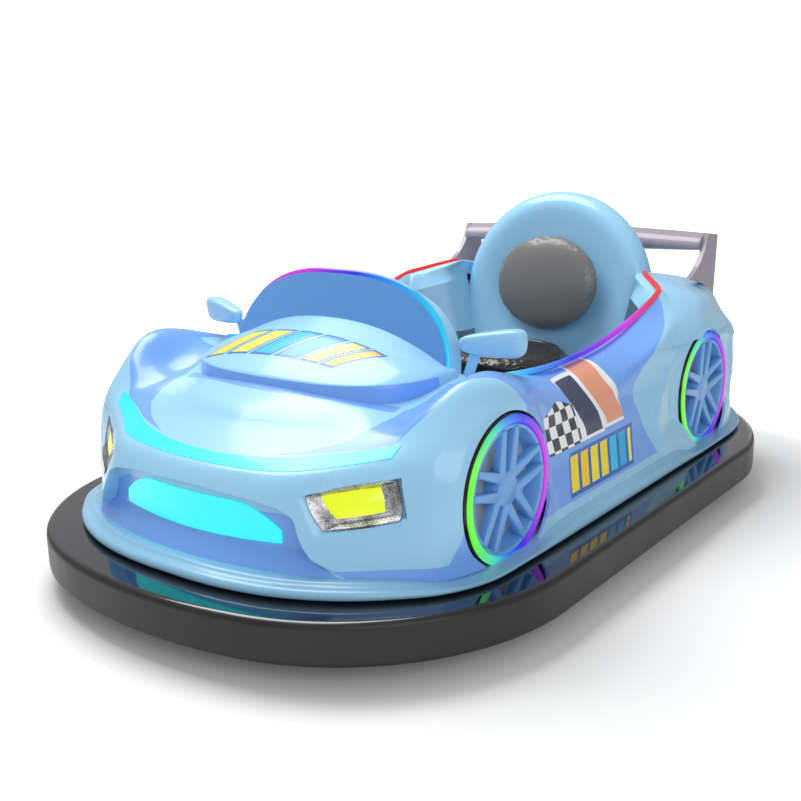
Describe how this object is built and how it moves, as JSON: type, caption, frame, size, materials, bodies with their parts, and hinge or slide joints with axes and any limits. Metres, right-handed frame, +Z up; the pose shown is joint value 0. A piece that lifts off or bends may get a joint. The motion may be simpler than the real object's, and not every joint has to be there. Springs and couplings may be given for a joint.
{
  "type": "bumper car",
  "caption": "Battery-driven fairground bumper car: sports-car shaped body on a rubber bumper ring, open cockpit with round seat back, steered front drive wheel and rear wheels.",
  "frame": {"origin": "on the floor, under the middle of the bumper ring", "axes": "+X forward, +Y to the driver's left, +Z up"},
  "size_m": [1.9998, 1.234, 0.7518],
  "materials": {
    "accent_gloss": "gloss cornflower blue",
    "battery_case": "dark battery case",
    "bezel_chrome": "bright chrome",
    "body_gloss": "gloss light sky blue glass fibre",
    "bumper_rubber": "satin black moulded rubber",
    "column_black": "black",
    "floor_plate": "dark grey painted plate",
    "frame_steel": "black powder coat",
    "grip_black": "black foam grip",
    "hub_alloy": "cast aluminium",
    "interior": "satin grey blue glass fibre",
    "lamp_red": "red lens",
    "light_cyan": "lit cyan light guide",
    "light_strip": "colour-changing light guide",
    "light_yellow": "lit yellow lens",
    "pad_grey": "grey vinyl pad",
    "rim_blue": "satin mid blue",
    "screen_blue": "opaque gloss blue",
    "seat_black": "gloss black vinyl",
    "steel_bright": "bright steel",
    "tyre_black": "black moulded rubber",
    "wheel_rubber": "solid rubber",
    "wing_mauve": "satin mauve grey"
  },
  "bodies": {
    "chassis": {"rubber_bumper": "bumper_rubber", "chassis_hoop": "frame_steel", "chassis_rails": "frame_steel", "chassis_crossmembers": "frame_steel", "floor_plate": "floor_plate", "front_body": "body_gloss", "left_side_panel": "accent_gloss", "right_side_panel": "accent_gloss", "rear_body": "body_gloss", "body_lip": "body_gloss", "nose_light_strip": "light_cyan", "grille_light": "light_cyan", "headlight_bezels": "bezel_chrome", "headlight_lenses": "light_yellow", "left_rim_light": "light_strip", "right_rim_light": "light_strip", "windscreen": "screen_blue", "windscreen_light": "light_strip", "cowl_moulding": "body_gloss", "dash_panel": "interior", "backrest_shell": "body_gloss", "backrest_pad": "pad_grey", "seat_base": "interior", "seat_cushion": "seat_black", "side_wheel_tyres": "tyre_black", "side_wheel_rims": "rim_blue", "side_wheel_lights": "light_strip", "left_mirror": "body_gloss", "right_mirror": "body_gloss", "wing_fins": "wing_mauve", "rear_wing": "wing_mauve", "column_jacket": "column_black", "drive_bridge": "frame_steel", "rear_wheel_brackets": "frame_steel", "rear_axles": "steel_bright", "battery_block": "battery_case", "foot_pedal": "column_black", "steering_gearbox": "frame_steel", "hood_panel": "body_gloss", "fascia_panel": "accent_gloss", "tail_lights": "lamp_red", "footwell_bulkhead": "interior"},
    "steering": {"steering_wheel": "grip_black", "steering_shaft": "steel_bright"},
    "drive_unit": {"drive_fork": "frame_steel", "drive_axle": "steel_bright"},
    "drive_wheel": {"drive_tyre": "wheel_rubber", "drive_hub_motor": "hub_alloy"},
    "left_rear_wheel": {"left_rear_tyre": "wheel_rubber", "left_rear_hub": "hub_alloy"},
    "right_rear_wheel": {"right_rear_tyre": "wheel_rubber", "right_rear_hub": "hub_alloy"}
  },
  "joints": [
    {"name": "fork_swivel", "type": "hinge", "parent": "chassis", "child": "drive_unit", "pos_m": [0.59, 0, 0.2], "axis": [0, 0, 1], "range_deg": [-90, 90]},
    {"name": "steering_turn", "type": "hinge", "parent": "chassis", "child": "steering", "pos_m": [0.205, 0, 0.455], "axis": [-0.866, 0, 0.5], "range_deg": [-135, 135]},
    {"name": "drive_spin", "type": "hinge", "parent": "drive_unit", "child": "drive_wheel", "pos_m": [0.59, 0, 0.1], "axis": [0, 1, 0], "continuous": true},
    {"name": "left_rear_spin", "type": "hinge", "parent": "chassis", "child": "left_rear_wheel", "pos_m": [-0.6, 0.29, 0.08], "axis": [0, 1, 0], "continuous": true},
    {"name": "right_rear_spin", "type": "hinge", "parent": "chassis", "child": "right_rear_wheel", "pos_m": [-0.6, -0.29, 0.08], "axis": [0, 1, 0], "continuous": true}
  ],
  "couplings": [
    {"joint": "steering_turn", "follows": "fork_swivel", "ratio": 1.5}
  ]
}
